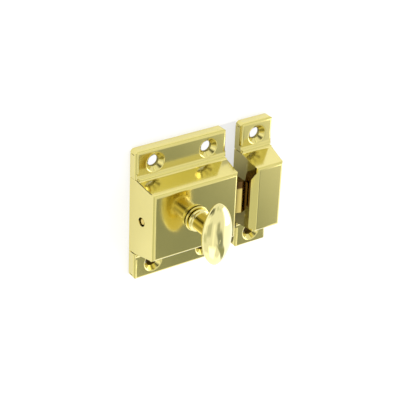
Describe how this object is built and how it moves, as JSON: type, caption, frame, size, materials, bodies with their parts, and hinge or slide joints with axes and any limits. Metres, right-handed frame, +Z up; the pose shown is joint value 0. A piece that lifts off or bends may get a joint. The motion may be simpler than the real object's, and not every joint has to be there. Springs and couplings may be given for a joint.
{
  "type": "cupboard turn catch",
  "caption": "Folded brass cupboard catch: a case with a sprung bolt drawn by an oval turn knob, and a separate keeper with a ramp lip.",
  "frame": {"origin": "middle of the case's flat back, on the spindle's axis", "axes": "+X from the case towards the keeper, +Y into the door that it hangs on, +Z up"},
  "size_m": [0.0571, 0.0297, 0.0508],
  "materials": {
    "polished_brass": "polished and lacquered",
    "knob_brass": "mirror polished",
    "bolt_brass": "satin, as cast and brushed",
    "zinc_plate": "zinc plated",
    "pin_steel": "plain turned",
    "spring_steel": "drawn wire"
  },
  "bodies": {
    "case": {"case_shell": "polished_brass", "back_plate": "zinc_plate", "spindle_bush": "polished_brass", "rear_bush": "bolt_brass", "rest_stop_pin": "pin_steel", "open_stop_pin": "pin_steel", "spring_seat": "bolt_brass", "bolt_spring": "spring_steel", "keeper_shell": "polished_brass"},
    "knob": {"turn_knob": "knob_brass", "thrust_washer": "bolt_brass", "cam_spacer": "pin_steel", "bolt_cam": "pin_steel", "cam_clip": "spring_steel"},
    "bolt": {"latch_bolt": "bolt_brass", "guide_rod": "bolt_brass"}
  },
  "joints": [
    {"name": "bolt_slide", "type": "slide", "parent": "case", "child": "bolt", "axis": [1, 0, 0], "range_m": [-0.0047, 0], "stiffness_N_per_m": 150, "springref_m": 0.006, "deforming": ["bolt_spring"]},
    {"name": "knob_turn", "type": "hinge", "parent": "case", "child": "knob", "pos_m": [0, 0, 0], "axis": [0, 1, 0], "range_deg": [0, 50]}
  ],
  "couplings": [
    {"joint": "knob_turn", "follows": "bolt_slide", "rad_per_m": -185.6}
  ]
}
